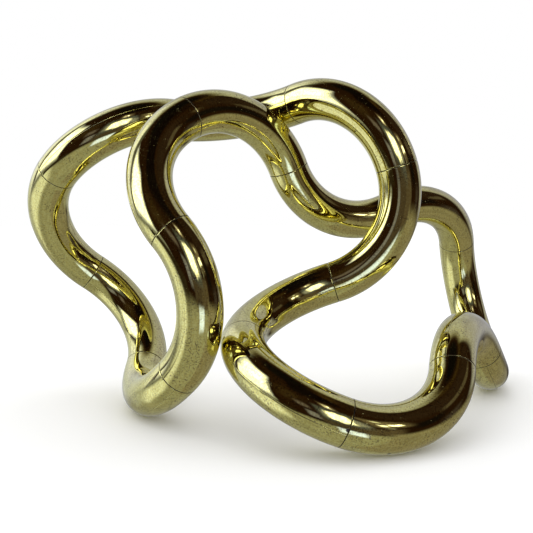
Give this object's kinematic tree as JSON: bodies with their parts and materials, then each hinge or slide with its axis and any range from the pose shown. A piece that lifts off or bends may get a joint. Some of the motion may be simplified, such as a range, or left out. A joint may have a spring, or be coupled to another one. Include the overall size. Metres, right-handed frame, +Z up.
{
  "type": "twistable link loop puzzle",
  "caption": "Closed loop of identical quarter-turn metal-look tube links, each joined to the next by a coaxial swivel, twisted into a free-standing tangle.",
  "frame": {"origin": "middle of the base of the bounding box, on the surface that the loop stands on", "axes": "+Z up, +X to the right along the loop's longest side, +Y away from a viewer in front"},
  "size_m": [0.2428, 0.1806, 0.153],
  "materials": {
    "gold_plating": "polished, with fine pits and scratches",
    "swivel_plastic": "moulded"
  },
  "bodies": {
    "link_01": {"link_01_left_shell": "gold_plating", "link_01_right_shell": "gold_plating", "link_01_swivel_pin": "swivel_plastic"},
    "link_02": {"link_02_left_shell": "gold_plating", "link_02_right_shell": "gold_plating", "link_02_swivel_pin": "swivel_plastic"},
    "link_03": {"link_03_left_shell": "gold_plating", "link_03_right_shell": "gold_plating", "link_03_swivel_pin": "swivel_plastic"},
    "link_04": {"link_04_left_shell": "gold_plating", "link_04_right_shell": "gold_plating", "link_04_swivel_pin": "swivel_plastic"},
    "link_05": {"link_05_left_shell": "gold_plating", "link_05_right_shell": "gold_plating", "link_05_swivel_pin": "swivel_plastic"},
    "link_06": {"link_06_left_shell": "gold_plating", "link_06_right_shell": "gold_plating", "link_06_swivel_pin": "swivel_plastic"},
    "link_07": {"link_07_left_shell": "gold_plating", "link_07_right_shell": "gold_plating", "link_07_swivel_pin": "swivel_plastic"},
    "link_08": {"link_08_left_shell": "gold_plating", "link_08_right_shell": "gold_plating", "link_08_swivel_pin": "swivel_plastic"},
    "link_09": {"link_09_left_shell": "gold_plating", "link_09_right_shell": "gold_plating", "link_09_swivel_pin": "swivel_plastic"},
    "link_10": {"link_10_left_shell": "gold_plating", "link_10_right_shell": "gold_plating", "link_10_swivel_pin": "swivel_plastic"},
    "link_11": {"link_11_left_shell": "gold_plating", "link_11_right_shell": "gold_plating", "link_11_swivel_pin": "swivel_plastic"},
    "link_12": {"link_12_left_shell": "gold_plating", "link_12_right_shell": "gold_plating", "link_12_swivel_pin": "swivel_plastic"},
    "link_13": {"link_13_left_shell": "gold_plating", "link_13_right_shell": "gold_plating", "link_13_swivel_pin": "swivel_plastic"},
    "link_14": {"link_14_left_shell": "gold_plating", "link_14_right_shell": "gold_plating", "link_14_swivel_pin": "swivel_plastic"},
    "link_15": {"link_15_left_shell": "gold_plating", "link_15_right_shell": "gold_plating", "link_15_swivel_pin": "swivel_plastic"},
    "link_16": {"link_16_left_shell": "gold_plating", "link_16_right_shell": "gold_plating", "link_16_swivel_pin": "swivel_plastic"},
    "link_17": {"link_17_left_shell": "gold_plating", "link_17_right_shell": "gold_plating", "link_17_swivel_pin": "swivel_plastic"},
    "link_18": {"link_18_left_shell": "gold_plating", "link_18_right_shell": "gold_plating", "link_18_swivel_pin": "swivel_plastic"}
  },
  "joints": [
    {"name": "swivel_14_15", "type": "hinge", "parent": "link_14", "child": "link_15", "pos_m": [0.11163, 0.06288, 0.01779], "axis": [-0.0825, 0.8191, 0.5676], "range_deg": [-6.6, 6.6]},
    {"name": "swivel_15_16", "type": "hinge", "parent": "link_15", "child": "link_16", "pos_m": [0.0999, 0.07327, 0.07508], "axis": [-0.1968, -0.5718, 0.7965], "range_deg": [-11.3, 11.3]},
    {"name": "swivel_16_17", "type": "hinge", "parent": "link_16", "child": "link_17", "pos_m": [0.05515, 0.03771, 0.09123], "axis": [-0.8687, -0.275, -0.412], "range_deg": [-58, 58]},
    {"name": "swivel_17_18", "type": "hinge", "parent": "link_17", "child": "link_18", "pos_m": [0.00414, 0.01529, 0.1118], "axis": [-0.3458, -0.2589, 0.9019], "range_deg": [-15.7, 15.7]},
    {"name": "swivel_18_01", "type": "hinge", "parent": "link_18", "child": "link_01", "pos_m": [-0.04064, -0.01838, 0.13154], "axis": [-0.7203, -0.5428, -0.432], "range_deg": [-2.4, 2.4]},
    {"name": "swivel_01_02", "type": "hinge", "parent": "link_01", "child": "link_02", "pos_m": [-0.04424, -0.05227, 0.08289], "axis": [0.6346, -0.264, -0.7264], "range_deg": [-5.4, 5.4]},
    {"name": "swivel_02_03", "type": "hinge", "parent": "link_02", "child": "link_03", "pos_m": [-0.04266, -0.04532, 0.02392], "axis": [-0.597, 0.4295, -0.6776], "range_deg": [-20.7, 20.7]},
    {"name": "swivel_03_04", "type": "hinge", "parent": "link_03", "child": "link_04", "pos_m": [-0.06526, 0.00909, 0.01633], "axis": [0.0589, 0.8658, 0.4969], "range_deg": [-8, 8]},
    {"name": "swivel_04_05", "type": "hinge", "parent": "link_04", "child": "link_05", "pos_m": [-0.09576, 0.03422, 0.06068], "axis": [-0.7849, -0.2674, 0.5589], "range_deg": [-12.2, 12.2]},
    {"name": "swivel_05_06", "type": "hinge", "parent": "link_05", "child": "link_06", "pos_m": [-0.10327, 0.00117, 0.10945], "axis": [0.6059, -0.5195, 0.6025], "range_deg": [-23.8, 23.8]},
    {"name": "swivel_14_13", "type": "hinge", "parent": "link_14", "child": "link_13", "pos_m": [0.0967, 0.00574, 0.02409], "axis": [0.4379, 0.5415, -0.7177], "range_deg": [-15.8, 15.8]},
    {"name": "swivel_13_12", "type": "hinge", "parent": "link_13", "child": "link_12", "pos_m": [0.0703, -0.04742, 0.0264], "axis": [0.1908, 0.7241, 0.6628], "range_deg": [-13.6, 13.6]},
    {"name": "swivel_12_11", "type": "hinge", "parent": "link_12", "child": "link_11", "pos_m": [0.02296, -0.08072, 0.01304], "axis": [0.9362, 0.0688, -0.3448], "range_deg": [-7, 7]},
    {"name": "swivel_11_10", "type": "hinge", "parent": "link_11", "child": "link_10", "pos_m": [-0.01589, -0.04269, 0.03695], "axis": [-0.011, -0.9744, -0.2244], "range_deg": [-7.6, 7.6]},
    {"name": "swivel_10_09", "type": "hinge", "parent": "link_10", "child": "link_09", "pos_m": [0.02456, -0.00507, 0.05879], "axis": [-0.952, 0.0788, -0.2956], "range_deg": [-59.9, 59.9]},
    {"name": "swivel_09_08", "type": "hinge", "parent": "link_09", "child": "link_08", "pos_m": [0.05199, -0.0098, 0.11126], "axis": [0.2989, 0.0338, -0.9537], "range_deg": [-6.9, 6.9]},
    {"name": "swivel_08_07", "type": "hinge", "parent": "link_08", "child": "link_07", "pos_m": [0.00842, 0.01571, 0.14255], "axis": [0.7384, -0.6412, 0.2087], "range_deg": [-18.1, 18.1]}
  ],
  "couplings": [
    {"joint": "swivel_14_15", "follows": "swivel_16_17", "ratio": 0.1118},
    {"joint": "swivel_15_16", "follows": "swivel_16_17", "ratio": 0.1915},
    {"joint": "swivel_17_18", "follows": "swivel_16_17", "ratio": 0.2685},
    {"joint": "swivel_18_01", "follows": "swivel_16_17", "ratio": 0.0389},
    {"joint": "swivel_01_02", "follows": "swivel_16_17", "ratio": -0.0901},
    {"joint": "swivel_02_03", "follows": "swivel_16_17", "ratio": 0.3549},
    {"joint": "swivel_03_04", "follows": "swivel_16_17", "ratio": -0.1351},
    {"joint": "swivel_04_05", "follows": "swivel_16_17", "ratio": -0.208},
    {"joint": "swivel_05_06", "follows": "swivel_16_17", "ratio": 0.4077},
    {"joint": "swivel_14_13", "follows": "swivel_16_17", "ratio": -0.2705},
    {"joint": "swivel_13_12", "follows": "swivel_16_17", "ratio": 0.231},
    {"joint": "swivel_12_11", "follows": "swivel_16_17", "ratio": 0.1188},
    {"joint": "swivel_11_10", "follows": "swivel_16_17", "ratio": 0.1283},
    {"joint": "swivel_10_09", "follows": "swivel_16_17", "ratio": 1.0295},
    {"joint": "swivel_09_08", "follows": "swivel_16_17", "ratio": 0.1172},
    {"joint": "swivel_08_07", "follows": "swivel_16_17", "ratio": 0.3092}
  ]
}
